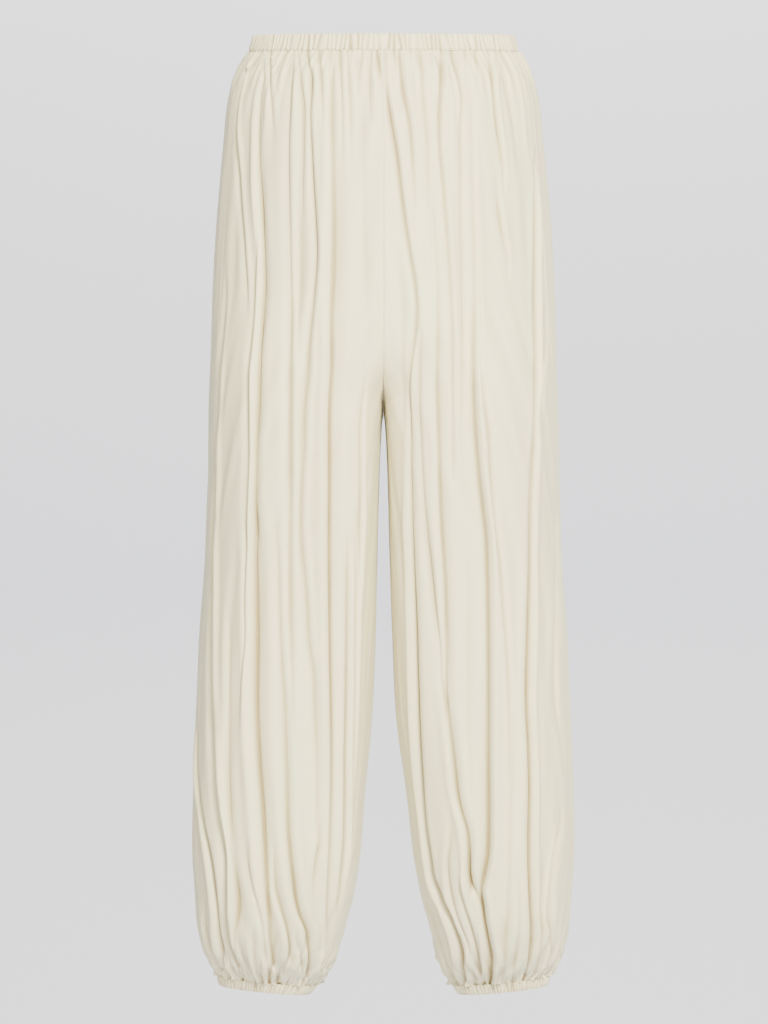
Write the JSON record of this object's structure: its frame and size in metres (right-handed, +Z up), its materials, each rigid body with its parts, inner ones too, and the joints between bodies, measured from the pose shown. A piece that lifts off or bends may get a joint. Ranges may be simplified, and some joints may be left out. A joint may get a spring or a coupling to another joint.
{
  "type": "gathered harem trousers with elastic waist and ankles",
  "caption": "Wide gathered trousers with an elastic waist casing, side pockets and balloon legs drawn in at elastic ankle casings, hollow as when worn.",
  "frame": {"origin": "middle of the waist opening, about halfway up the waist casing", "axes": "+Z up, the front of the trousers faces -Y, the wearer's left leg is at +X"},
  "size_m": [0.3977, 0.2828, 1.0152],
  "materials": {
    "cloth": "cream twill with a soft sheen",
    "casing": "cream twill, gathered over elastic",
    "pocket_cloth": "thin matte cream lining cloth"
  },
  "bodies": {
    "root": {"waist_casing": "casing", "front_panel_left": "cloth", "front_panel_right": "cloth", "back_panel_left": "cloth", "back_panel_right": "cloth", "pocket_bag_left": "pocket_cloth", "pocket_bag_right": "pocket_cloth", "ankle_casing_left": "casing", "ankle_casing_right": "casing"}
  },
  "joints": []
}
